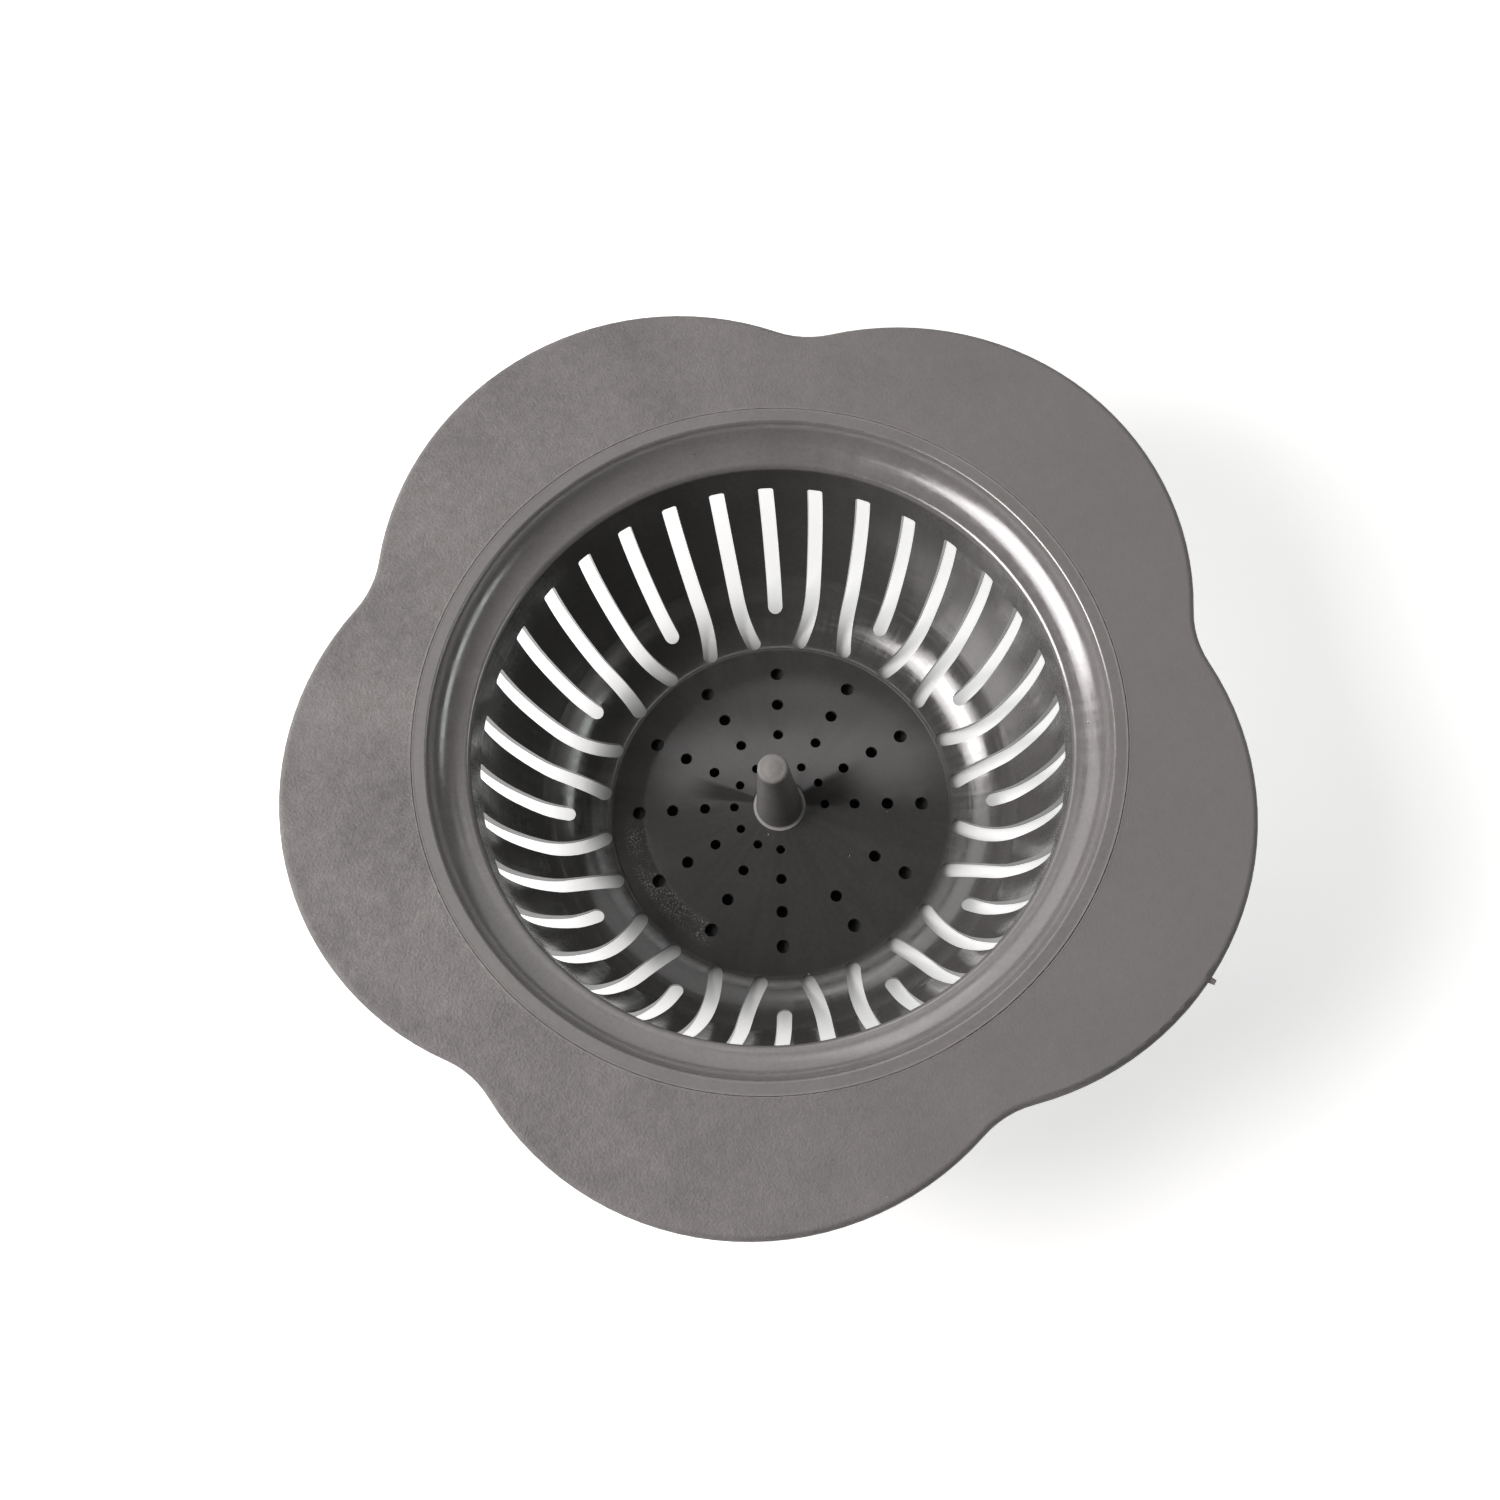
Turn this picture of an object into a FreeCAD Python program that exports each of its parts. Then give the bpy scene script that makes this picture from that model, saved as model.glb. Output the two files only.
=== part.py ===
import FreeCAD, Part
import math
import os

from FreeCAD import Vector

# Drop-in sink strainer: a soft petal flange, a slotted basket and a staked lift post.
# The drain's axis is Z. Z = 0 is the flange's underside, which seats on the sink.
# A petal points along +Y. Lengths are millimetres and angles are degrees.

# Collar ring, laid out outwards from the edge of the basket's mouth
mouth_radius = 35.0
mouth_round = 0.8
cove_width = 4.5
cove_drop = 3.0
lip_width = 1.8
lip_round = 0.4
collar_relief = 0.7
collar_foot_round = 0.8
collar_root_round = 0.8

# Seam between collar and flange, and the tongue and groove in it
seam_clearance = 0.06
seam_round = 0.06
tongue_reach = 1.3
tongue_thickness = 0.6
tongue_end_clearance = 0.1

# Petal flange, laid out outwards from the seam
petal_count = 5
petal_direction = 90.0
rim_width = 9.7
petal_reach = 6.25
notch_arc_radius = 11.35
flange_thickness = 1.6
flange_edge_round = 0.7
gate_petal = 3
gate_offset = -7.3
gate_radius = 0.45
gate_tip_radius = 0.3
gate_reach = 0.65

# Basket wall and floor, laid out inwards and down from the mouth's edge
wall_thickness = 0.8
wall_draft = 5.3
wall_straight_depth = 4.65
band_radius = 9.05
floor_depth = 27.05
floor_inset = 13.6
dome_rise = 1.98
floor_thickness = 0.8
foot_width = 1.6
foot_bevel = 0.4

# Slots: each spoke has one short slot and a long one on either side of it
spoke_count = 12
slot_width = 1.85
slot_top_depth = 5.4
slot_corner_round = 0.4
short_slot_stop = 5.2
long_slot_bend = 6.7
long_slot_lean = 2.4

# Drain holes in the floor, in rings that stand a little further apart towards the rim
drain_ring_count = 4
drain_seat_gap = 2.1
drain_edge_gap = 3.7
drain_ring_spread = 1.074
inner_drain_diameter = 1.1
outer_drain_diameter = 1.65
blank_spokes = (9, 10)
blank_ring_count = 2

# Lift post
post_height = 16.5
post_base_radius = 2.85
post_top_radius = 1.85
post_top_round = 0.45
post_foot_round = 0.4
spigot_radius = 1.6
spigot_clearance = 0.05
stake_overhang = 1.0
stake_height = 0.9
stake_round = 0.5
seat_margin = 0.3

# The most of a wall that a rounding on one of its edges may take
round_share = 0.45

# Radii that follow, from the mouth outwards
lip_radius = mouth_radius + cove_width
seam_radius = lip_radius + lip_width
collar_radius = seam_radius - collar_relief
notch_floor_radius = seam_radius + rim_width
petal_tip_radius = notch_floor_radius + petal_reach

# Radii that follow, from the mouth inwards
crease_radius = mouth_radius - floor_inset
stake_radius = spigot_radius + stake_overhang
post_foot_radius = post_base_radius + post_foot_round
seat_radius = max(post_foot_radius, stake_radius) + seat_margin

# Levels that follow
mouth_level = flange_thickness - cove_drop
collar_bottom = mouth_level - wall_thickness
crease_level = mouth_level - floor_depth
foot_level = crease_level - wall_thickness
cutter_bottom = foot_level - wall_thickness - floor_thickness
slot_top_level = mouth_level - slot_top_depth
tongue_bottom = (flange_thickness - tongue_thickness) / 2
tongue_top = tongue_bottom + tongue_thickness

# The wall's draft, and how far a corner on it moves out when the wall is offset by 1 mm
lean = math.radians(wall_draft)
corner_shift = 1 / math.cos(lean) - math.tan(lean)

# The floor is a shallow dome, flat only where the post seats
dome_radius = (crease_radius ** 2 + dome_rise ** 2) / (2 * dome_rise)
dome_centre_level = crease_level + dome_rise - dome_radius

# A petal's arc is tangent to the arcs of the notches on both sides of it
half_petal = 180.0 / petal_count
notch_centre_radius = notch_floor_radius + notch_arc_radius
notch_along = notch_centre_radius * math.cos(math.radians(half_petal))
petal_radius = (
    petal_tip_radius ** 2 + notch_centre_radius ** 2 - notch_arc_radius ** 2
    - 2 * petal_tip_radius * notch_along
) / (2 * (petal_tip_radius + notch_arc_radius - notch_along))
petal_centre_radius = petal_tip_radius - petal_radius

# Three slots to a spoke, evenly spread
spoke_pitch = 360.0 / spoke_count
slot_pitch = spoke_pitch / 3
short_slot_end_radius = crease_radius + short_slot_stop
long_slot_bend_radius = crease_radius + long_slot_bend
long_slot_end_radius = crease_radius + slot_width / 2

up = Vector(0, 0, 1)
origin = Vector(0, 0, 0)


def at(radius, level):
    """Point of a profile that is turned about Z."""
    return Vector(radius, 0, level)


def polar(radius, angle, level=0.0):
    turn = math.radians(angle)
    return Vector(radius * math.cos(turn), radius * math.sin(turn), level)


def dome_level(radius, depth):
    """Level of the floor at a radius, at a depth under its upper surface."""
    return dome_centre_level + math.sqrt((dome_radius - depth) ** 2 - radius ** 2)


def line(start, end):
    return Part.LineSegment(start, end).toShape()


def arc_about(centre, start, end):
    """Arc under a half circle from start to end about centre."""
    radius = (start - centre).Length
    middle = (start - centre) + (end - centre)
    return Part.Arc(start, centre + middle * (radius / middle.Length), end).toShape()


def rounded_chain(corners):
    """Edges through (point, rounding radius) corners; the first and last points stay sharp."""
    edges = []
    last = corners[0][0]
    for index in range(1, len(corners) - 1):
        corner, radius = corners[index]
        back = corners[index - 1][0] - corner
        ahead = corners[index + 1][0] - corner
        if radius > 0:
            back.normalize()
            ahead.normalize()
            half_angle = back.getAngle(ahead) / 2
            reach = radius / math.tan(half_angle)
            bisector = back + ahead
            bisector.normalize()
            centre = corner + bisector * (radius / math.sin(half_angle))
            enter = corner + back * reach
            leave = corner + ahead * reach
            edges.append(line(last, enter))
            edges.append(arc_about(centre, enter, leave))
            last = leave
        else:
            edges.append(line(last, corner))
            last = corner
    edges.append(line(last, corners[-1][0]))
    return edges


def turned(edges):
    """Solid of revolution about Z from a closed chain of edges."""
    profile = Part.Face(Part.Wire(Part.__sortEdges__(edges)))
    return profile.revolve(origin, up, 360)


def export(shape, node):
    solid = shape.removeSplitter()
    if not solid.isValid():
        raise ValueError(node + " is not a valid solid")
    solid.exportStep("parts/" + node + ".step")
    print(node, "solids", len(solid.Solids), "volume", round(solid.Volume, 1))


def petal_outline():
    """Closed wire of petal arcs that run tangent into the notches between them."""
    share = petal_radius / (petal_radius + notch_arc_radius)
    edges = []
    for index in range(petal_count):
        middle = petal_direction + 2 * half_petal * index
        centre = polar(petal_centre_radius, middle)
        before = polar(notch_centre_radius, middle - half_petal)
        after = polar(notch_centre_radius, middle + half_petal)
        following = polar(petal_centre_radius, middle + 2 * half_petal)
        start = centre + (before - centre) * share
        end = centre + (after - centre) * share
        next_start = following + (after - following) * share
        edges.append(Part.Arc(start, polar(petal_tip_radius, middle), end).toShape())
        edges.append(Part.Arc(end, polar(notch_floor_radius, middle + half_petal), next_start).toShape())
    return Part.Wire(edges)


def make_gate():
    """Stub of the moulding gate, on the petal's edge at half the flange's thickness."""
    direction = petal_direction + 2 * half_petal * gate_petal + gate_offset
    turn = math.radians(gate_offset)
    aside = petal_centre_radius * math.sin(turn)
    edge_radius = petal_centre_radius * math.cos(turn) + math.sqrt(petal_radius ** 2 - aside ** 2)
    start = polar(edge_radius - gate_reach, direction, flange_thickness / 2)
    return Part.makeCone(gate_radius, gate_tip_radius, 2 * gate_reach, start, polar(1, direction))


def make_petal_flange():
    plate = Part.Face(petal_outline()).extrude(up * flange_thickness)
    edge_round = min(flange_edge_round, round_share * flange_thickness)
    rims = [edge for edge in plate.Edges if abs(edge.BoundBox.ZLength) < 1e-6]
    plate = plate.makeFillet(edge_round, rims)
    bore_radius = seam_radius + seam_clearance
    plate = plate.fuse(make_gate()).cut(Part.makeCylinder(bore_radius, flange_thickness))
    seam_edge = [
        edge for edge in plate.Edges
        if edge.BoundBox.ZMin > flange_thickness - 1e-6 and edge.BoundBox.XMax < bore_radius + 1e-6
    ]
    plate = plate.makeFillet(seam_round, seam_edge)
    groove = Part.makeCylinder(
        seam_radius + tongue_reach + tongue_end_clearance, tongue_thickness, Vector(0, 0, tongue_bottom)
    )
    return plate.cut(groove)


def mouth_edges():
    """Edges from the lip's top in to the wall: lip rounding, cove and mouth rounding, all tangent."""
    lip_centre = at(lip_radius + lip_round, flange_thickness - lip_round)
    mouth_centre = at(mouth_radius + mouth_round * corner_shift, mouth_level - mouth_round)
    across = lip_centre.x - mouth_centre.x
    climb = cove_drop - lip_round
    cove_radius = (across ** 2 + climb ** 2 - lip_round ** 2) / (2 * cove_drop)
    cove_centre = at(mouth_centre.x, mouth_level + cove_radius)
    to_lip = lip_centre - cove_centre
    lip_top = at(lip_centre.x, flange_thickness)
    lip_foot = cove_centre + to_lip * (cove_radius / to_lip.Length)
    cove_foot = at(mouth_centre.x, mouth_level)
    wall_top = mouth_centre - at(math.cos(lean), -math.sin(lean)) * mouth_round
    return [
        arc_about(lip_centre, lip_top, lip_foot),
        arc_about(cove_centre, lip_foot, cove_foot),
        arc_about(mouth_centre, cove_foot, wall_top),
    ]


def wall_edges(offset):
    """Edges of the wall's bow and of the band under it, moved outwards by offset, from the top down."""
    outward = at(math.cos(lean), -math.sin(lean))
    top = at(mouth_radius - wall_straight_depth * math.tan(lean), mouth_level - wall_straight_depth)
    band_centre = at(crease_radius, crease_level + band_radius)
    span = top - band_centre
    bow_radius = (span.dot(span) - band_radius ** 2) / (2 * (span.dot(outward) - band_radius))
    bow_centre = top - outward * bow_radius
    to_joint = band_centre - bow_centre
    joint = bow_centre + to_joint * ((bow_radius + offset) / to_joint.Length)
    return [
        arc_about(bow_centre, top + outward * offset, joint),
        arc_about(band_centre, joint, at(crease_radius, crease_level - offset)),
    ]


def make_basket_shell():
    """The turned shell: floor, band, wall and collar with its tongue."""
    inner_wall = wall_edges(0)
    outer_wall = wall_edges(wall_thickness)
    mouth = mouth_edges()
    collar_foot = min(collar_foot_round, -2 * round_share * collar_bottom)

    dome_centre = at(0, dome_centre_level)
    hole_radius = spigot_radius + spigot_clearance
    collar_root_radius = mouth_radius + wall_thickness * corner_shift
    seat_edge = at(seat_radius, dome_level(seat_radius, 0))
    underseat_edge = at(seat_radius, dome_level(seat_radius, floor_thickness))
    foot_inner_radius = crease_radius - foot_width
    foot_top_radius = foot_inner_radius - foot_bevel
    foot_top = at(foot_top_radius, dome_level(foot_top_radius, floor_thickness))

    edges = [arc_about(dome_centre, seat_edge, at(crease_radius, crease_level))]
    edges += inner_wall + mouth + outer_wall
    edges.append(line(mouth[-1].lastVertex().Point, inner_wall[0].firstVertex().Point))
    edges += rounded_chain([
        (mouth[0].firstVertex().Point, 0),
        (at(seam_radius, flange_thickness), seam_round),
        (at(seam_radius, tongue_top), 0),
        (at(seam_radius + tongue_reach, tongue_top), 0),
        (at(seam_radius + tongue_reach, tongue_bottom), 0),
        (at(seam_radius, tongue_bottom), 0),
        (at(seam_radius, 0), 0),
        (at(collar_radius, 0), 0),
        (at(collar_radius, collar_bottom), collar_foot),
        (at(collar_root_radius, collar_bottom), collar_root_round),
        (outer_wall[0].firstVertex().Point, 0),
    ])
    edges += rounded_chain([
        (at(crease_radius, foot_level), 0),
        (at(foot_inner_radius, foot_level), 0),
        (foot_top, 0),
    ])
    edges.append(arc_about(dome_centre, foot_top, underseat_edge))
    edges += rounded_chain([
        (underseat_edge, 0),
        (at(hole_radius, underseat_edge.z), 0),
        (at(hole_radius, seat_edge.z), 0),
        (seat_edge, 0),
    ])
    return turned(edges)


def slot_section():
    """Upright cross-section of a slot, square at the top but for its rounded corners."""
    half = slot_width / 2
    corner = min(slot_corner_round, round_share * slot_width)
    left_foot = Vector(0, -half, cutter_bottom)
    right_foot = Vector(0, half, cutter_bottom)
    edges = rounded_chain([
        (left_foot, 0),
        (Vector(0, -half, slot_top_level), corner),
        (Vector(0, half, slot_top_level), corner),
        (right_foot, 0),
    ])
    edges.append(line(right_foot, left_foot))
    return Part.Face(Part.Wire(edges))


def straight_slot(start_radius):
    """Slot blade along +X from start_radius out through the wall."""
    section = slot_section()
    section.translate(Vector(start_radius, 0, 0))
    return section.extrude(Vector(collar_radius - start_radius, 0, 0))


def short_slot():
    place = Vector(short_slot_end_radius, 0, cutter_bottom)
    end = Part.makeCylinder(slot_width / 2, slot_top_level - cutter_bottom, place)
    return straight_slot(short_slot_end_radius).fuse(end)


def long_slot():
    """Slot beside a spoke: straight down the wall, then bent towards the spoke on the band."""
    half = slot_width / 2
    inward = polar(-1, slot_pitch)
    sideways = Vector(-inward.y, inward.x, 0)
    start = polar(long_slot_bend_radius, slot_pitch, cutter_bottom)
    end = polar(long_slot_end_radius, slot_pitch - long_slot_lean, cutter_bottom)
    chord = end - start
    turn_radius = chord.Length ** 2 / (2 * chord.dot(sideways))
    centre = start + sideways * turn_radius
    to_start = (start - centre) * (1 / turn_radius)
    to_end = (end - centre) * (1 / turn_radius)
    ahead = Vector(-to_end.y, to_end.x, 0)
    corners = [
        start + to_start * half,
        end + to_end * half,
        end - to_end * half,
        start - to_start * half,
    ]
    footprint = Part.Wire([
        arc_about(centre, corners[0], corners[1]),
        Part.Arc(corners[1], end + ahead * half, corners[2]).toShape(),
        arc_about(centre, corners[2], corners[3]),
        line(corners[3], corners[0]),
    ])
    bend = Part.Face(footprint).extrude(up * (slot_top_level - cutter_bottom))
    blade = straight_slot(long_slot_bend_radius)
    blade.rotate(origin, up, slot_pitch)
    return blade.fuse(bend)


def slot_cutters():
    right = long_slot()
    group = [short_slot(), right, right.mirror(origin, Vector(0, 1, 0))]
    cutters = []
    for spoke in range(spoke_count):
        for slot in group:
            cutter = slot.copy()
            cutter.rotate(origin, up, spoke * spoke_pitch)
            cutters.append(cutter)
    return cutters


def drain_cutters():
    cutters = []
    height = slot_top_level - cutter_bottom
    first_ring = seat_radius + drain_seat_gap
    last_ring = crease_radius - drain_edge_gap
    for ring in range(drain_ring_count):
        share = ring / (drain_ring_count - 1)
        radius = first_ring + (last_ring - first_ring) * share ** drain_ring_spread
        diameter = inner_drain_diameter + (outer_drain_diameter - inner_drain_diameter) * share
        for spoke in range(spoke_count):
            if ring < blank_ring_count and spoke in blank_spokes:
                continue
            place = polar(radius, spoke * spoke_pitch, cutter_bottom)
            cutters.append(Part.makeCylinder(diameter / 2, height, place))
    return cutters


def make_basket():
    return make_basket_shell().cut(slot_cutters() + drain_cutters())


def make_lift_post():
    """Tapered pin on a flared foot, with a spigot through the floor and a staked head under it."""
    seat = dome_level(seat_radius, 0)
    underseat = dome_level(seat_radius, floor_thickness)
    flare_top = seat + post_foot_round
    top = seat + post_height
    stake_bottom = underseat - stake_height
    foot = at(post_foot_radius, seat)
    shank_foot = at(post_base_radius, flare_top)

    edges = rounded_chain([
        (foot, 0),
        (at(spigot_radius, seat), 0),
        (at(spigot_radius, underseat), 0),
        (at(stake_radius, underseat), 0),
        (at(stake_radius, stake_bottom), min(stake_round, 2 * round_share * stake_height)),
        (at(0, stake_bottom), 0),
        (at(0, top), 0),
        (at(post_top_radius, top), min(post_top_round, 2 * round_share * post_top_radius)),
        (shank_foot, 0),
    ])
    edges.append(arc_about(at(post_foot_radius, flare_top), shank_foot, foot))
    return turned(edges)


os.makedirs("parts", exist_ok=True)
export(make_petal_flange(), "petal_flange")
export(make_basket(), "basket")
export(make_lift_post(), "lift_post")
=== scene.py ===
"""Looks of a drop-in sink strainer, laid out as a Blender add-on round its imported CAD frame.

Lengths are metres and angles are radians, in the frame of the CAD part: Z is the drain's axis,
Z = 0 is the flange's underside and a petal points along +Y.
"""

import math

import bpy
from bpy.props import FloatProperty, FloatVectorProperty, PointerProperty
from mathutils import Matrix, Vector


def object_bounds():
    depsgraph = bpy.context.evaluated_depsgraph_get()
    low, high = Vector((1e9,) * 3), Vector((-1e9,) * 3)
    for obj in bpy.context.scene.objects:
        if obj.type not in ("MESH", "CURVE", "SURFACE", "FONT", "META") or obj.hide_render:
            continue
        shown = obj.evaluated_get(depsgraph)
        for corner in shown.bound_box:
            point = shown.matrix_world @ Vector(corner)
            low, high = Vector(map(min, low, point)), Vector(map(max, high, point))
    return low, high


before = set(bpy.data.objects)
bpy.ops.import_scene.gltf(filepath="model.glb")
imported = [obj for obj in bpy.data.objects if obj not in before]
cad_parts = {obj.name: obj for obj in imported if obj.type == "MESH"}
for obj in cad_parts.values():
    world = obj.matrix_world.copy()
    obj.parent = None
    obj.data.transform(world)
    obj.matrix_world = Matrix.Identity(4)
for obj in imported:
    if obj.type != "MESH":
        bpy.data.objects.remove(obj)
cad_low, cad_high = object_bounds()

bl_info = {
    "name": "Sink Strainer",
    "version": (1, 0, 0),
    "blender": (4, 5, 0),
    "location": "3D View > Sidebar > Strainer",
    "description": "Finishes the packed sink strainer and lays its studio stage",
    "category": "Object",
}

MM = 0.001
NODE_STEP = 220

# Turned shape of the CAD basket and post that the finishes follow
MOUTH_ARC = 0.8 * MM
CREST_RADIUS = 35.73 * MM
COVE_ARC = 4.0 * MM
LIP_ARC = 0.4 * MM
LIP_TOP_RADIUS = 39.9 * MM
SEAM_RADIUS = 41.3 * MM
CREASE_RADIUS = 21.4 * MM
MOUTH_LEVEL = -1.4 * MM
BAND_LEVEL = -17.5 * MM
POST_FOOT_LEVEL = -26.47 * MM
POST_TOP_LEVEL = -9.97 * MM

# Directions of the wear, of the scuffs with their painted glint and of the two painted shadows of the post
# on the floor, in degrees round Z from +X
WORN_SIDE = 150
SCUFF_GLINT_SIDE = 182
LEFT_POST_SHADOW_SIDE = 135
RIGHT_POST_SHADOW_SIDE = -16


# Settings that a user would change

class FlangeLook(bpy.types.PropertyGroup):
    """Finish of the soft petal flange"""

    colour: FloatVectorProperty(
        name="Colour", description="Mean colour of the matt rubber", subtype="COLOR",
        size=3, min=0.0, max=1.0, default=(0.198, 0.187, 0.185),
    )
    mottle: FloatProperty(
        name="Mottle", description="How far the cloudy tone strays from the mean colour",
        subtype="FACTOR", min=0.0, max=1.0, default=0.45,
    )
    grain_size: FloatProperty(
        name="Grain size", description="Width of one grain of the eroded mould texture",
        unit="LENGTH", subtype="DISTANCE", min=0.0, default=0.3 * MM,
    )
    grain_depth: FloatProperty(
        name="Grain depth", description="Height of the grain", unit="LENGTH", subtype="DISTANCE",
        min=0.0, default=0.06 * MM,
    )
    dust_colour: FloatVectorProperty(
        name="Dust", description="Colour of the dust specks", subtype="COLOR",
        size=3, min=0.0, max=1.0, default=(0.55, 0.53, 0.51),
    )


class BasketLook(bpy.types.PropertyGroup):
    """Finish of the rigid basket and its collar"""

    collar_colour: FloatVectorProperty(
        name="Collar colour", description="Mean colour of the lip and the cove", subtype="COLOR",
        size=3, min=0.0, max=1.0, default=(0.2, 0.19, 0.188),
    )
    # Colour of the wall and the floor, painted darker than the collar as painted shade inside the basket
    inside_colour_and_shade: FloatVectorProperty(
        name="Inside colour", description="Mean colour of the wall and the floor", subtype="COLOR",
        size=3, min=0.0, max=1.0, default=(0.08, 0.077, 0.075),
    )
    gloss_roughness: FloatProperty(
        name="Roughness", description="Roughness of the polished surfaces", subtype="FACTOR",
        min=0.0, max=1.0, default=0.19,
    )
    gloss_index: FloatProperty(
        name="Gloss index", description="Index of refraction, which sets how much is mirrored",
        min=1.0, max=3.0, default=1.7,
    )
    polish_depth: FloatProperty(
        name="Polish depth", description="Depth of the fine lines that mould polishing leaves",
        unit="LENGTH", subtype="DISTANCE", min=0.0, default=0.0015 * MM,
    )
    crease_height: FloatProperty(
        name="Crease height", description="Height of the witness line round the floor",
        unit="LENGTH", subtype="DISTANCE", min=0.0, default=0.02 * MM,
    )
    # Colour of the scuffs with the painted glint of the key lamp on them
    scuff_glint_colour: FloatVectorProperty(
        name="Scuff", description="Colour of the chalky scuffs on the floor", subtype="COLOR",
        size=3, min=0.0, max=1.0, default=(0.4, 0.39, 0.37),
    )


class PostLook(bpy.types.PropertyGroup):
    """Finish of the lift post"""

    colour: FloatVectorProperty(
        name="Colour", description="Mean colour of the post", subtype="COLOR",
        size=3, min=0.0, max=1.0, default=(0.15, 0.146, 0.142),
    )
    # Colour of the painted highlight round the post's foot
    foot_highlight_colour: FloatVectorProperty(
        name="Burr", description="Colour of the bright burr round the foot", subtype="COLOR",
        size=3, min=0.0, max=1.0, default=(0.6, 0.59, 0.57),
    )
    gloss_roughness: FloatProperty(
        name="Roughness", description="Roughness of the shank", subtype="FACTOR",
        min=0.0, max=1.0, default=0.5,
    )


class StageLook(bpy.types.PropertyGroup):
    """Camera, lamps and floor"""

    camera_place: FloatVectorProperty(
        name="Camera place", description="Where the camera stands", unit="LENGTH",
        subtype="TRANSLATION", size=3, default=(-0.03397, -0.08782, 0.30265),
    )
    camera_turn: FloatVectorProperty(
        name="Camera turn", description="How the camera is turned", unit="ROTATION",
        subtype="EULER", size=3,
        default=(math.radians(16.877), math.radians(3.466), math.radians(-31.077)),
    )
    lens: FloatProperty(
        name="Lens", description="Focal length on a 36 mm sensor", unit="CAMERA",
        min=1.0, default=65.86,
    )
    key_power: FloatProperty(
        name="Key power", description="Power of the bright window on the left", unit="POWER",
        min=0.0, default=0.9,
    )
    glow_power: FloatProperty(
        name="Glow power", description="Power of the wide glow round the bright window", unit="POWER",
        min=0.0, default=2.7,
    )
    sky_power: FloatProperty(
        name="Sky power", description="Power of the pale lamp behind on the left", unit="POWER",
        min=0.0, default=0.7,
    )
    back_power: FloatProperty(
        name="Back power", description="Power of the dim wide lamp behind", unit="POWER",
        min=0.0, default=0.6,
    )
    high_power: FloatProperty(
        name="High power", description="Power of the small lamp high behind, which the floor mirrors",
        unit="POWER", min=0.0, default=0.125,
    )
    fill_power: FloatProperty(
        name="Fill power", description="Power of the lamp on the right", unit="POWER",
        min=0.0, default=0.46,
    )
    ambient: FloatProperty(
        name="Ambient", description="Strength of the light from overhead", min=0.0, default=0.02,
    )
    horizon: FloatProperty(
        name="Horizon", description="Strength of the pale backdrop at eye level", min=0.0,
        default=0.05,
    )
    floor_lift: FloatProperty(
        name="Floor lift", description="White added to the floor where it is looked at",
        subtype="FACTOR", min=0.0, max=1.0, default=0.6,
    )
    foot_shade_radius: FloatProperty(
        name="Foot shade", description="Radius round the basket inside which the white fades out",
        unit="LENGTH", subtype="DISTANCE", min=0.0, default=0.031,
    )


class StrainerSettings(bpy.types.PropertyGroup):
    """All settings of the strainer"""

    flange: PointerProperty(type=FlangeLook)
    basket: PointerProperty(type=BasketLook)
    post: PointerProperty(type=PostLook)
    stage: PointerProperty(type=StageLook)


# Node helpers

def set_inputs(tree, node, inputs):
    """Gives each input, by its name or number, a value or a link from an output."""
    for name, value in inputs.items():
        if isinstance(value, bpy.types.NodeSocket):
            tree.links.new(value, node.inputs[name])
        else:
            node.inputs[name].default_value = value


def add_node(tree, kind, inputs=None, **settings):
    """Adds a node to tree, with its settings and its inputs."""
    node = tree.nodes.new(kind)
    node.location.x = NODE_STEP * len(tree.nodes)
    for name, value in settings.items():
        setattr(node, name, value)
    set_inputs(tree, node, inputs or {})
    return node


def calculate(tree, operation, first, second=0.0, clamp=False):
    node = add_node(tree, "ShaderNodeMath", {0: first, 1: second}, operation=operation, use_clamp=clamp)
    return node.outputs[0]


def remap(tree, value, low, high, to_low, to_high):
    inputs = {"Value": value, "From Min": low, "From Max": high, "To Min": to_low, "To Max": to_high}
    node = add_node(tree, "ShaderNodeMapRange", inputs, interpolation_type="SMOOTHSTEP")
    return node.outputs["Result"]


def blend_colour(tree, share, first, second):
    """Colour that goes from first to second as share goes from 0 to 1."""
    inputs = {0: share, 6: first, 7: second}
    return add_node(tree, "ShaderNodeMix", inputs, data_type="RGBA").outputs[2]


def noise(tree, vector, scale, detail, roughness=0.5):
    inputs = {"Vector": vector, "Scale": scale, "Detail": detail, "Roughness": roughness}
    return add_node(tree, "ShaderNodeTexNoise", inputs).outputs["Fac"]


def opaque(colour):
    return (colour[0], colour[1], colour[2], 1.0)


def scaled(tree, vector, factor):
    """Vector or colour times factor."""
    inputs = {0: vector, "Scale": factor}
    return add_node(tree, "ShaderNodeVectorMath", inputs, operation="SCALE").outputs[0]


def window(tree, value, low, high, edge):
    """1 where value is between low and high, with soft edges outside them."""
    rising = remap(tree, value, low - edge, low, 0.0, 1.0)
    falling = remap(tree, value, high, high + edge, 1.0, 0.0)
    return calculate(tree, "MULTIPLY", rising, falling)


def toward(tree, vector, azimuth):
    """How far vector reaches along a level direction, given as degrees round Z from +X."""
    turn = math.radians(azimuth)
    inputs = {0: vector, 1: (math.cos(turn), math.sin(turn), 0.0)}
    return add_node(tree, "ShaderNodeVectorMath", inputs, operation="DOT_PRODUCT").outputs["Value"]


def vector_math(tree, operation, first, second=(0.0, 0.0, 0.0)):
    return add_node(tree, "ShaderNodeVectorMath", {0: first, 1: second}, operation=operation).outputs[0]


def length(tree, vector):
    return add_node(tree, "ShaderNodeVectorMath", {0: vector}, operation="LENGTH").outputs["Value"]


def level_part(tree, vector):
    """Vector without its height."""
    return vector_math(tree, "MULTIPLY", vector, (1.0, 1.0, 0.0))


def height_of(tree, vector):
    return add_node(tree, "ShaderNodeSeparateXYZ", {"Vector": vector}).outputs["Z"]


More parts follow.
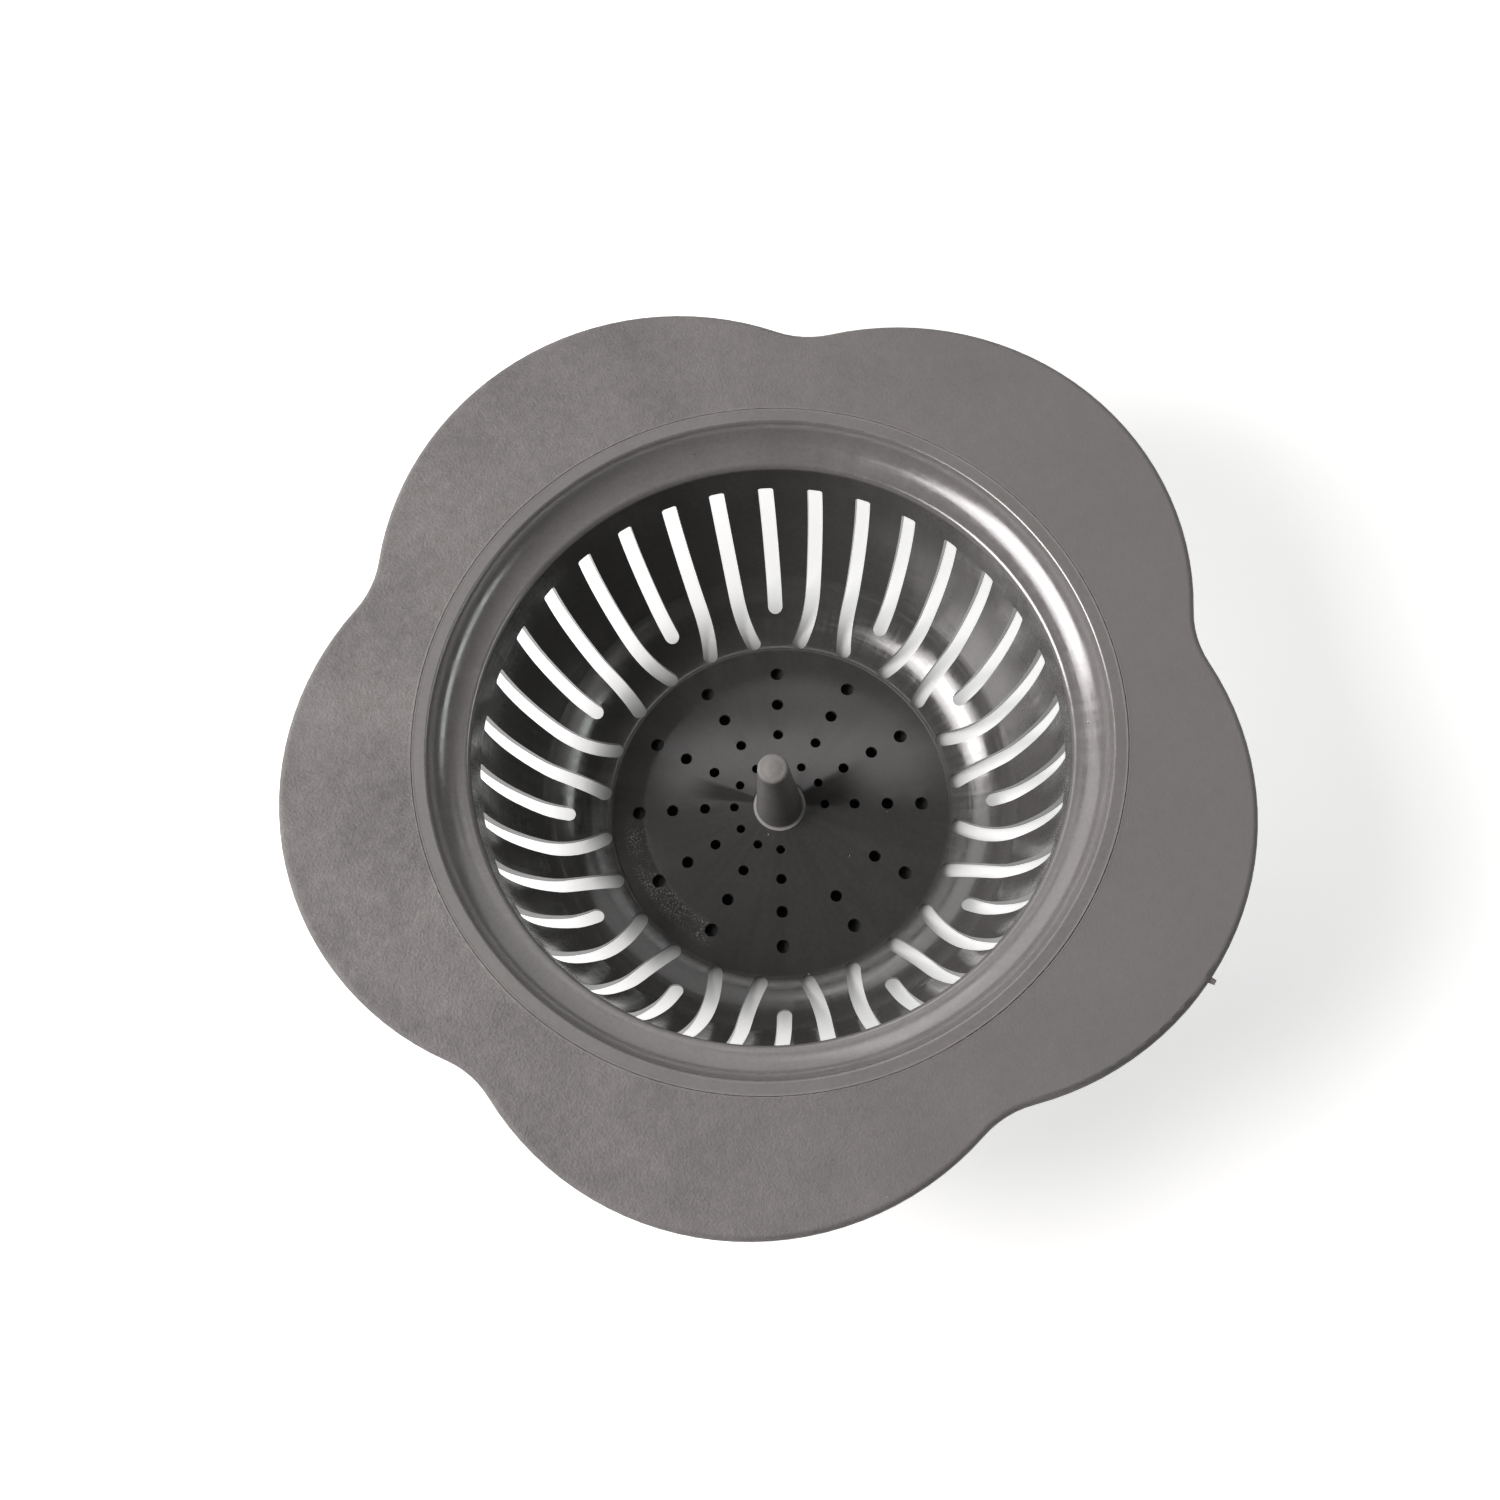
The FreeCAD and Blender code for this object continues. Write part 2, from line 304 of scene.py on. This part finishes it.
def new_group(name, inputs, outputs):
    """Empty shader node group; inputs and outputs are (name, socket type) pairs."""
    tree = bpy.data.node_groups.new(name, "ShaderNodeTree")
    for socket_name, kind in inputs:
        tree.interface.new_socket(name=socket_name, in_out="INPUT", socket_type=kind)
    for socket_name, kind in outputs:
        tree.interface.new_socket(name=socket_name, in_out="OUTPUT", socket_type=kind)
    return tree, tree.nodes.new("NodeGroupInput"), tree.nodes.new("NodeGroupOutput")


def place_group(tree, group, inputs):
    node = tree.nodes.new("ShaderNodeGroup")
    node.node_tree = group
    set_inputs(tree, node, inputs)
    return node


# Shared effects

def moulded_grain():
    """Group: cloudy tone and fine height of a surface that took an eroded mould's texture."""
    found = bpy.data.node_groups.get("Moulded grain")
    if found:
        return found
    tree, entry, result = new_group(
        "Moulded grain",
        [("Vector", "NodeSocketVector"), ("Grain Size", "NodeSocketFloat"),
         ("Cloud Size", "NodeSocketFloat")],
        [("Tone", "NodeSocketFloat"), ("Height", "NodeSocketFloat")],
    )
    grain_scale = calculate(tree, "DIVIDE", 1.0, entry.outputs["Grain Size"])
    cloud_scale = calculate(tree, "DIVIDE", 1.0, entry.outputs["Cloud Size"])
    grain = noise(tree, entry.outputs["Vector"], grain_scale, 3.0, 0.6)
    cloud = noise(tree, entry.outputs["Vector"], cloud_scale, 4.0, 0.55)
    both = calculate(tree, "ADD", grain, cloud)
    tone = calculate(tree, "MULTIPLY", both, 0.5)
    tree.links.new(tone, result.inputs["Tone"])
    tree.links.new(grain, result.inputs["Height"])
    return tree


def specks():
    """Group: mask of small round specks, at most one in each cell of a jittered grid."""
    found = bpy.data.node_groups.get("Specks")
    if found:
        return found
    tree, entry, result = new_group(
        "Specks",
        [("Vector", "NodeSocketVector"), ("Spacing", "NodeSocketFloat"), ("Size", "NodeSocketFloat"),
         ("Share", "NodeSocketFloat")],
        [("Mask", "NodeSocketFloat")],
    )
    scale = calculate(tree, "DIVIDE", 1.0, entry.outputs["Spacing"])
    cells = add_node(tree, "ShaderNodeTexVoronoi", {"Vector": entry.outputs["Vector"], "Scale": scale})
    draw = add_node(tree, "ShaderNodeSeparateColor", {"Color": cells.outputs["Color"]})
    reach = calculate(tree, "MULTIPLY", entry.outputs["Size"], scale)
    sized = calculate(tree, "MULTIPLY", reach, draw.outputs["Green"])
    inside = calculate(tree, "SUBTRACT", sized, cells.outputs["Distance"])
    edge = calculate(tree, "DIVIDE", inside, calculate(tree, "MULTIPLY", reach, 0.4))
    shape = calculate(tree, "MULTIPLY", edge, 1.0, clamp=True)
    chosen = calculate(tree, "LESS_THAN", draw.outputs["Red"], entry.outputs["Share"])
    mask = calculate(tree, "MULTIPLY", shape, chosen)
    tree.links.new(mask, result.inputs["Mask"])
    return tree


def polish_marks():
    """Group: the fine lines of a turned and hand-polished mould, round the axis and across it."""
    found = bpy.data.node_groups.get("Polish marks")
    if found:
        return found
    tree, entry, result = new_group(
        "Polish marks",
        [("Vector", "NodeSocketVector"), ("Line Pitch", "NodeSocketFloat"),
         ("Ray Count", "NodeSocketFloat")],
        [("Rings", "NodeSocketFloat"), ("Rays", "NodeSocketFloat"), ("Radius", "NodeSocketFloat")],
    )
    flat = level_part(tree, entry.outputs["Vector"])
    radius = length(tree, flat)
    direction = vector_math(tree, "NORMALIZE", flat)
    across = calculate(tree, "DIVIDE", radius, entry.outputs["Line Pitch"])
    down = calculate(tree, "DIVIDE", height_of(tree, entry.outputs["Vector"]), entry.outputs["Line Pitch"])
    meridian = calculate(tree, "SUBTRACT", across, down)
    turn_parts = add_node(tree, "ShaderNodeSeparateXYZ", {"Vector": scaled(tree, direction, 6.0)})
    ring_vector = add_node(
        tree, "ShaderNodeCombineXYZ",
        {"X": meridian, "Y": turn_parts.outputs["X"], "Z": turn_parts.outputs["Y"]},
    ).outputs[0]
    rings = noise(tree, ring_vector, 1.0, 3.0, 0.65)
    fan = scaled(tree, direction, entry.outputs["Ray Count"])
    fan_parts = add_node(tree, "ShaderNodeSeparateXYZ", {"Vector": fan})
    slow = calculate(tree, "MULTIPLY", meridian, 0.02)
    ray_vector = add_node(
        tree, "ShaderNodeCombineXYZ",
        {"X": fan_parts.outputs["X"], "Y": fan_parts.outputs["Y"], "Z": slow},
    ).outputs[0]
    rays = noise(tree, ray_vector, 1.0, 3.0, 0.6)
    tree.links.new(rings, result.inputs["Rings"])
    tree.links.new(rays, result.inputs["Rays"])
    tree.links.new(radius, result.inputs["Radius"])
    return tree


# Materials

def new_material(name):
    """Material with a Principled shader, and the object's own coordinates."""
    material = bpy.data.materials.new(name)
    material.use_nodes = True
    tree = material.node_tree
    tree.nodes.clear()
    shader = tree.nodes.new("ShaderNodeBsdfPrincipled")
    output = tree.nodes.new("ShaderNodeOutputMaterial")
    tree.links.new(shader.outputs["BSDF"], output.inputs["Surface"])
    place = tree.nodes.new("ShaderNodeTexCoord").outputs["Object"]
    return material, tree, shader, place


def bump(tree, height, depth, below=None):
    inputs = {"Height": height, "Distance": depth, "Strength": 1.0}
    if below is not None:
        inputs["Normal"] = below
    return add_node(tree, "ShaderNodeBump", inputs).outputs["Normal"]


def turn_space(tree, normal, source, target):
    settings = {"vector_type": "NORMAL", "convert_from": source, "convert_to": target}
    return add_node(tree, "ShaderNodeVectorTransform", {"Vector": normal}, **settings).outputs["Vector"]


def collar_normal(tree, place, radius, height):
    """Smooth normal of the turned mouth, cove and lip, found from the radius; the mesh's own elsewhere."""
    own = tree.nodes.new("ShaderNodeNewGeometry").outputs["Normal"]
    beyond = calculate(tree, "SUBTRACT", radius, CREST_RADIUS)
    mouth = calculate(tree, "DIVIDE", beyond, -MOUTH_ARC)
    ledge = calculate(tree, "ADD", calculate(tree, "DIVIDE", beyond, 1.4 * COVE_ARC), 0.16)
    cove = calculate(tree, "DIVIDE", beyond, COVE_ARC)
    lip = calculate(tree, "DIVIDE", calculate(tree, "SUBTRACT", LIP_TOP_RADIUS, radius), LIP_ARC)
    rising = calculate(tree, "MAXIMUM", calculate(tree, "MAXIMUM", mouth, ledge), cove)
    sine = calculate(tree, "MULTIPLY", calculate(tree, "MINIMUM", rising, lip), 1.0, clamp=True)
    squared = calculate(tree, "MULTIPLY", sine, sine)
    cosine = calculate(tree, "SQRT", calculate(tree, "SUBTRACT", 1.0, squared))
    outward = vector_math(tree, "NORMALIZE", level_part(tree, place))
    inward = scaled(tree, outward, calculate(tree, "MULTIPLY", sine, -1.0))
    upward = add_node(tree, "ShaderNodeCombineXYZ", {"Z": cosine}).outputs[0]
    turned = turn_space(tree, vector_math(tree, "ADD", inward, upward), "OBJECT", "WORLD")
    facing = height_of(tree, turn_space(tree, own, "WORLD", "OBJECT"))
    top_side = calculate(tree, "GREATER_THAN", facing, 0.02)
    wall_top = MOUTH_LEVEL - 0.7 * MM
    above = remap(tree, height, wall_top, wall_top + 0.2 * MM, 0.0, 1.0)
    share = calculate(tree, "MULTIPLY", top_side, above)
    mixed = add_node(tree, "ShaderNodeMix", {0: share, 4: own, 5: turned}, data_type="VECTOR").outputs[1]
    return vector_math(tree, "NORMALIZE", mixed)


def flange_material(look):
    """Matt soft grey with an eroded grain, a cloudy tone and a little dust, most worn on one side."""
    material, tree, shader, place = new_material("petal_flange_matt_grey")
    grain = place_group(tree, moulded_grain(), {
        "Vector": place, "Grain Size": look.grain_size, "Cloud Size": 7 * MM,
    })
    blotches = place_group(tree, moulded_grain(), {
        "Vector": place, "Grain Size": 1.4 * MM, "Cloud Size": 16 * MM,
    })
    worn = remap(tree, toward(tree, place, WORN_SIDE), -45 * MM, 50 * MM, 0.55, 2.6)
    both = calculate(tree, "ADD", grain.outputs["Tone"], blotches.outputs["Tone"])
    stray = calculate(tree, "MULTIPLY", calculate(tree, "SUBTRACT", both, 1.0), look.mottle)
    factor = calculate(tree, "ADD", calculate(tree, "MULTIPLY", stray, worn), 1.0)
    radius = length(tree, level_part(tree, place))
    # Beside the seam the rubber rises in a small ridge and is painted 1.2 times lighter, a painted lift
    # against the shade in the seam
    seam_ridge_and_lift = remap(tree, radius, SEAM_RADIUS, SEAM_RADIUS + 0.4 * MM, 1.0, 0.0)
    lifted_at_seam = calculate(tree, "MULTIPLY", factor, remap(tree, seam_ridge_and_lift, 0.0, 1.0, 1.0, 1.2))
    tone = scaled(tree, look.colour, lifted_at_seam)
    dust = place_group(tree, specks(), {
        "Vector": place, "Spacing": 3.2 * MM, "Size": 0.17 * MM, "Share": 0.2,
    })
    colour = blend_colour(tree, dust.outputs["Mask"], tone, opaque(look.dust_colour))
    tree.links.new(colour, shader.inputs["Base Color"])
    tree.links.new(remap(tree, grain.outputs["Tone"], 0.3, 0.7, 0.66, 0.54), shader.inputs["Roughness"])
    height = calculate(tree, "MULTIPLY", grain.outputs["Height"], worn)
    grained = bump(tree, height, look.grain_depth)
    tree.links.new(bump(tree, seam_ridge_and_lift, 0.035 * MM, grained), shader.inputs["Normal"])
    return material


def basket_material(look):
    """Satin grey plastic: a pale collar, an inside painted darker as shade, polishing streaks, pits, dust,
    scuffs with a painted glint, painted post shadows and a painted lift at the seam.
    """
    material, tree, shader, place = new_material("basket_satin_grey")
    polish = place_group(tree, polish_marks(), {
        "Vector": place, "Line Pitch": 0.22 * MM, "Ray Count": 40.0,
    })
    radius = polish.outputs["Radius"]
    height = height_of(tree, place)
    collar = remap(tree, height, MOUTH_LEVEL - 1.0 * MM, MOUTH_LEVEL + 0.1 * MM, 0.0, 1.0)
    floor = remap(tree, radius, CREASE_RADIUS - 0.4 * MM, CREASE_RADIUS + 0.2 * MM, 1.0, 0.0)
    grain = place_group(tree, moulded_grain(), {
        "Vector": place, "Grain Size": 0.5 * MM, "Cloud Size": 9 * MM,
    })

    # The inside is painted darker than the collar: painted shade in the hollow of the basket
    mean = blend_colour(tree, collar, opaque(look.inside_colour_and_shade), opaque(look.collar_colour))
    cloud = remap(tree, grain.outputs["Tone"], 0.3, 0.7, 0.9, 1.1)
    fan = place_group(tree, polish_marks(), {"Vector": place, "Line Pitch": 0.5 * MM, "Ray Count": 5.0})
    flow = remap(tree, fan.outputs["Rays"], 0.35, 0.65, 0.88, 1.0)
    # Painted shadows: two dark streaks beside the post's foot, painted 0.7 times as dark and mirroring
    # little, stand in for the post's shadows from the lamps on either side
    near_post = window(tree, radius, 4.5 * MM, 6 * MM, 8 * MM)
    outward = vector_math(tree, "NORMALIZE", level_part(tree, place))
    left_post_shadow = remap(tree, toward(tree, outward, LEFT_POST_SHADOW_SIDE), 0.985, 0.998, 0.0, 1.0)
    right_post_shadow = remap(tree, toward(tree, outward, RIGHT_POST_SHADOW_SIDE), 0.93, 0.99, 0.0, 1.0)
    marks = calculate(tree, "MULTIPLY", calculate(tree, "MAXIMUM", left_post_shadow, right_post_shadow), near_post)
    flow_and_post_shadow = calculate(tree, "MULTIPLY", flow, remap(tree, marks, 0.0, 1.0, 1.0, 0.7))
    # The floor is painted 0.86 times as dark again: more painted shade at the bottom of the basket
    floor_shade = calculate(tree, "MULTIPLY", flow_and_post_shadow, 0.86)
    streaked_and_shaded = add_node(tree, "ShaderNodeMix", {0: floor, 2: 1.0, 3: floor_shade}).outputs[0]
    # Beside the seam the collar rises in a small ridge and is painted 1.2 times lighter, a painted lift
    # against the shade in the seam
    seam_ridge_and_lift = remap(tree, radius, SEAM_RADIUS - 0.35 * MM, SEAM_RADIUS - 0.05 * MM, 0.0, 1.0)
    lifted_at_seam = calculate(tree, "MULTIPLY", streaked_and_shaded, remap(tree, seam_ridge_and_lift, 0.0, 1.0, 1.0, 1.2))
    tone = scaled(tree, mean, calculate(tree, "MULTIPLY", cloud, lifted_at_seam))

    # Scuffs on one side of the floor's rounded edge: real scratches, painted pale where the key lamp glints
    # on them (a painted highlight)
    arc = window(tree, radius, 17.4 * MM, 19.2 * MM, 0.9 * MM)
    chalk = remap(tree, noise(tree, place, 1 / (0.22 * MM), 3.0, 0.6), 0.45, 0.75, 0.0, 0.8)
    patch = remap(tree, noise(tree, place, 1 / (3 * MM), 2.0), 0.4, 0.65, 0.25, 1.0)
    glint_side = remap(tree, toward(tree, outward, SCUFF_GLINT_SIDE), 0.8, 0.95, 0.0, 1.0)
    scuffed_glint_arc = calculate(tree, "MULTIPLY", arc, glint_side)
    scuff_and_glint = calculate(tree, "MULTIPLY", calculate(tree, "MULTIPLY", chalk, patch), scuffed_glint_arc)
    dust = place_group(tree, specks(), {
        "Vector": place, "Spacing": 2.8 * MM, "Size": 0.16 * MM, "Share": 0.2,
    })
    pits = place_group(tree, specks(), {
        "Vector": vector_math(tree, "ADD", place, (13 * MM, 7 * MM, 2 * MM)), "Spacing": 2.4 * MM,
        "Size": 0.2 * MM, "Share": 0.16,
    })
    pale_dust_and_glint = calculate(tree, "MAXIMUM", scuff_and_glint, dust.outputs["Mask"])
    dulled = blend_colour(tree, pale_dust_and_glint, tone, opaque(look.scuff_glint_colour))
    colour = scaled(tree, dulled, remap(tree, pits.outputs["Mask"], 0.0, 1.0, 1.0, 0.35))
    tree.links.new(colour, shader.inputs["Base Color"])

    streaks = calculate(tree, "ADD", polish.outputs["Rings"], polish.outputs["Rays"])
    wall = calculate(tree, "SUBTRACT", 1.0, floor)
    stray = calculate(tree, "MULTIPLY", remap(tree, streaks, 0.7, 1.3, -0.06, 0.08), wall)
    polished = calculate(tree, "ADD", stray, look.gloss_roughness)
    lip = remap(tree, radius, LIP_TOP_RADIUS - 0.2 * MM, LIP_TOP_RADIUS + 0.1 * MM, 0.0, 1.0)
    matt = calculate(tree, "MAXIMUM", calculate(tree, "MULTIPLY", pale_dust_and_glint, 0.8), lip)
    rough = calculate(tree, "ADD", polished, calculate(tree, "MULTIPLY", matt, 0.36))
    tree.links.new(rough, shader.inputs["Roughness"])
    shader.inputs["IOR"].default_value = look.gloss_index
    worn_side = remap(tree, toward(tree, outward, WORN_SIDE), 0.4, 0.75, 0.0, 1.0)
    worn_edge = remap(tree, radius, CREASE_RADIUS - 4.8 * MM, CREASE_RADIUS - 3.8 * MM, 0.0, 1.0)
    dull = calculate(tree, "MULTIPLY", worn_side, worn_edge)
    clear_level = remap(tree, dull, 0.0, 1.0, 0.85, 0.15)
    # Little is mirrored in the painted shadows of the post
    floor_level = calculate(tree, "MULTIPLY", clear_level, remap(tree, marks, 0.0, 1.0, 1.0, 0.1))
    band_level = remap(tree, height, BAND_LEVEL - 1.5 * MM, BAND_LEVEL + 1.5 * MM, 0.95, 0.75)
    inside_level = add_node(tree, "ShaderNodeMix", {0: floor, 2: band_level, 3: floor_level}).outputs[0]
    cove_level = calculate(tree, "ADD", inside_level, calculate(tree, "MULTIPLY", collar, 0.25))
    level = calculate(tree, "SUBTRACT", cove_level, calculate(tree, "MULTIPLY", lip, 0.68))
    tree.links.new(level, shader.inputs["Specular IOR Level"])

    witness = window(tree, radius, CREASE_RADIUS - 0.05 * MM, CREASE_RADIUS + 0.05 * MM, 0.3 * MM)
    turned = collar_normal(tree, place, radius, height)
    lines = bump(tree, calculate(tree, "MULTIPLY", streaks, wall), look.polish_depth, turned)
    ridge = bump(tree, witness, look.crease_height, lines)
    seam = bump(tree, seam_ridge_and_lift, 0.05 * MM, ridge)
    pitted = bump(tree, calculate(tree, "SUBTRACT", 1.0, pits.outputs["Mask"]), 0.03 * MM, seam)
    tree.links.new(bump(tree, grain.outputs["Height"], 0.002 * MM, pitted), shader.inputs["Normal"])
    return material


def post_material(look):
    """Dull grey plastic with a rounded cap painted lighter and a painted highlight round the foot."""
    material, tree, shader, place = new_material("lift_post_satin_grey")
    grain = place_group(tree, moulded_grain(), {
        "Vector": place, "Grain Size": 0.4 * MM, "Cloud Size": 5 * MM,
    })
    factor = remap(tree, grain.outputs["Tone"], 0.3, 0.7, 0.88, 1.12)
    height = height_of(tree, place)
    # Painted highlight: a pale ring round the foot stands in for the light on its fillet
    foot_highlight = remap(tree, height, POST_FOOT_LEVEL + 0.05 * MM, POST_FOOT_LEVEL + 0.27 * MM, 0.5, 0.0)
    # Painted light: the cap is painted up to 1.6 times lighter than the shank, as a top that faces the light
    lit_cap = remap(tree, height, POST_TOP_LEVEL - 0.63 * MM, POST_TOP_LEVEL - 0.13 * MM, 1.0, 1.6)
    tone = scaled(tree, look.colour, calculate(tree, "MULTIPLY", factor, lit_cap))
    tree.links.new(blend_colour(tree, foot_highlight, tone, opaque(look.foot_highlight_colour)), shader.inputs["Base Color"])
    stray = remap(tree, grain.outputs["Tone"], 0.3, 0.7, 0.05, -0.05)
    tree.links.new(calculate(tree, "ADD", stray, look.gloss_roughness), shader.inputs["Roughness"])
    shader.inputs["Specular IOR Level"].default_value = 0.3
    radius = length(tree, level_part(tree, place))
    cap = bump(tree, remap(tree, radius, 0.4 * MM, 1.5 * MM, 1.0, 0.0), 0.2 * MM)
    tree.links.new(bump(tree, grain.outputs["Height"], 0.006 * MM, cap), shader.inputs["Normal"])
    return material


def dress(node, material):
    """Gives a CAD node its finish and leaves its mesh as it is."""
    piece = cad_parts[node]
    piece.data.materials.clear()
    piece.data.materials.append(material)


# Stage

def floor_material(look):
    """White worktop, dark under the basket; white is added where it is looked at or mirrored."""
    material = bpy.data.materials.new("worktop_white")
    material.use_nodes = True
    tree = material.node_tree
    tree.nodes.clear()
    output = tree.nodes.new("ShaderNodeOutputMaterial")
    path = tree.nodes.new("ShaderNodeLightPath")
    mirrored = calculate(tree, "MAXIMUM", path.outputs["Is Glossy Ray"], path.outputs["Is Transmission Ray"])
    seen = calculate(tree, "MAXIMUM", path.outputs["Is Camera Ray"], mirrored)
    place = tree.nodes.new("ShaderNodeNewGeometry").outputs["Position"]
    reach = length(tree, level_part(tree, place))
    lift = remap(tree, reach, 0.64 * look.foot_shade_radius, look.foot_shade_radius, 0.0, look.floor_lift)
    strength = calculate(tree, "MULTIPLY", seen, lift)
    shade = remap(tree, reach, 0.62 * look.foot_shade_radius, 0.8 * look.foot_shade_radius, 0.1, 1.0)
    white = scaled(tree, (0.86, 0.86, 0.85), shade)
    paint = add_node(tree, "ShaderNodeBsdfDiffuse", {"Color": white})
    glow = add_node(tree, "ShaderNodeEmission", {"Strength": strength})
    both = add_node(tree, "ShaderNodeAddShader", {0: paint.outputs[0], 1: glow.outputs[0]})
    tree.links.new(both.outputs[0], output.inputs["Surface"])
    return material


def lay_world(look):
    """Pale all round at eye level and dim overhead."""
    world = bpy.data.worlds.new("studio")
    world.use_nodes = True
    tree = world.node_tree
    tree.nodes.clear()
    output = tree.nodes.new("ShaderNodeOutputWorld")
    direction = tree.nodes.new("ShaderNodeTexCoord").outputs["Generated"]
    height = height_of(tree, direction)
    strength = remap(tree, height, 0.1, 0.45, look.horizon, look.ambient)
    back = add_node(tree, "ShaderNodeBackground", {"Color": (1.0, 0.99, 0.98, 1.0), "Strength": strength})
    tree.links.new(back.outputs[0], output.inputs["Surface"])
    bpy.context.scene.world = world


def lay_lamp(name, azimuth, elevation, distance, size, power, colour):
    """Rectangular lamp that faces the strainer; angles are degrees and size is (width, height)."""
    lamp = bpy.data.lights.new(name, "AREA")
    lamp.shape = "RECTANGLE"
    lamp.size, lamp.size_y = size
    lamp.energy = power
    lamp.color = colour
    holder = bpy.data.objects.new(name, lamp)
    turn = math.radians(azimuth)
    rise = math.radians(elevation)
    flat = math.cos(rise) * distance
    holder.location = (flat * math.cos(turn), flat * math.sin(turn), math.sin(rise) * distance)
    holder.rotation_euler = (-holder.location).to_track_quat("-Z", "Y").to_euler()
    bpy.context.scene.collection.objects.link(holder)


def lay_floor(look):
    half = 6.0
    level = cad_low.z
    mesh = bpy.data.meshes.new("worktop")
    corners = [(-half, -half, level), (half, -half, level), (half, half, level), (-half, half, level)]
    mesh.from_pydata(corners, [], [(0, 1, 2, 3)])
    mesh.materials.append(floor_material(look))
    floor = bpy.data.objects.new("worktop", mesh)
    bpy.context.scene.collection.objects.link(floor)


def lay_camera(look):
    camera = bpy.data.cameras.new("photo_camera")
    camera.sensor_width = 36.0
    camera.lens = look.lens
    camera.clip_start = 0.01
    holder = bpy.data.objects.new("photo_camera", camera)
    holder.location = look.camera_place
    holder.rotation_euler = look.camera_turn
    bpy.context.scene.collection.objects.link(holder)
    bpy.context.scene.camera = holder


# Operators, panel and registration

class STRAINER_OT_finish_flange(bpy.types.Operator):
    """Give the petal flange its matt, grained finish"""

    bl_idname = "strainer.finish_flange"
    bl_label = "Finish Petal Flange"

    def execute(self, context):
        dress("petal_flange", flange_material(context.scene.strainer.flange))
        return {"FINISHED"}


class STRAINER_OT_finish_basket(bpy.types.Operator):
    """Give the basket and its collar their satin finish"""

    bl_idname = "strainer.finish_basket"
    bl_label = "Finish Basket"

    def execute(self, context):
        dress("basket", basket_material(context.scene.strainer.basket))
        return {"FINISHED"}


class STRAINER_OT_finish_post(bpy.types.Operator):
    """Give the lift post its satin finish"""

    bl_idname = "strainer.finish_post"
    bl_label = "Finish Lift Post"

    def execute(self, context):
        dress("lift_post", post_material(context.scene.strainer.post))
        return {"FINISHED"}


class STRAINER_OT_lay_stage(bpy.types.Operator):
    """Lay the floor, the lamps and the camera"""

    bl_idname = "strainer.lay_stage"
    bl_label = "Lay Stage"

    def execute(self, context):
        look = context.scene.strainer.stage
        context.scene.view_settings.view_transform = "Standard"
        lay_floor(look)
        lay_world(look)
        warm = (1.0, 0.97, 0.96)
        pale_dust_and_glint = (1.0, 0.985, 0.98)
        lay_lamp("key_lamp", 159, 41, 0.55, (0.27, 0.19), look.key_power, warm)
        lay_lamp("glow_lamp", 160, 41, 0.55, (0.37, 0.42), look.glow_power, warm)
        lay_lamp("sky_lamp", 100, 33, 0.6, (0.56, 0.39), look.sky_power, pale_dust_and_glint)
        lay_lamp("back_lamp", 48, 33, 0.6, (0.69, 0.52), look.back_power, pale_dust_and_glint)
        lay_lamp("high_lamp", 60, 65, 0.6, (0.44, 0.1), look.high_power, pale_dust_and_glint)
        lay_lamp("fill_lamp", -30, 28, 0.6, (0.4, 0.16), look.fill_power, (0.95, 1.0, 0.96))
        lay_camera(look)
        return {"FINISHED"}


class STRAINER_PT_panel(bpy.types.Panel):
    """Steps that finish the strainer"""

    bl_label = "Sink Strainer"
    bl_idname = "STRAINER_PT_panel"
    bl_space_type = "VIEW_3D"
    bl_region_type = "UI"
    bl_category = "Strainer"

    def draw(self, context):
        for step in STEPS:
            self.layout.operator(step.bl_idname)


STEPS = (
    STRAINER_OT_finish_flange,
    STRAINER_OT_finish_basket,
    STRAINER_OT_finish_post,
    STRAINER_OT_lay_stage,
)
CLASSES = (FlangeLook, BasketLook, PostLook, StageLook, StrainerSettings, *STEPS, STRAINER_PT_panel)


def register():
    for cls in CLASSES:
        bpy.utils.register_class(cls)
    bpy.types.Scene.strainer = PointerProperty(type=StrainerSettings)


def unregister():
    del bpy.types.Scene.strainer
    for cls in reversed(CLASSES):
        bpy.utils.unregister_class(cls)


def main():
    register()
    bpy.ops.strainer.finish_flange()
    bpy.ops.strainer.finish_basket()
    bpy.ops.strainer.finish_post()
    bpy.ops.strainer.lay_stage()


if __name__ == "__main__":
    main()
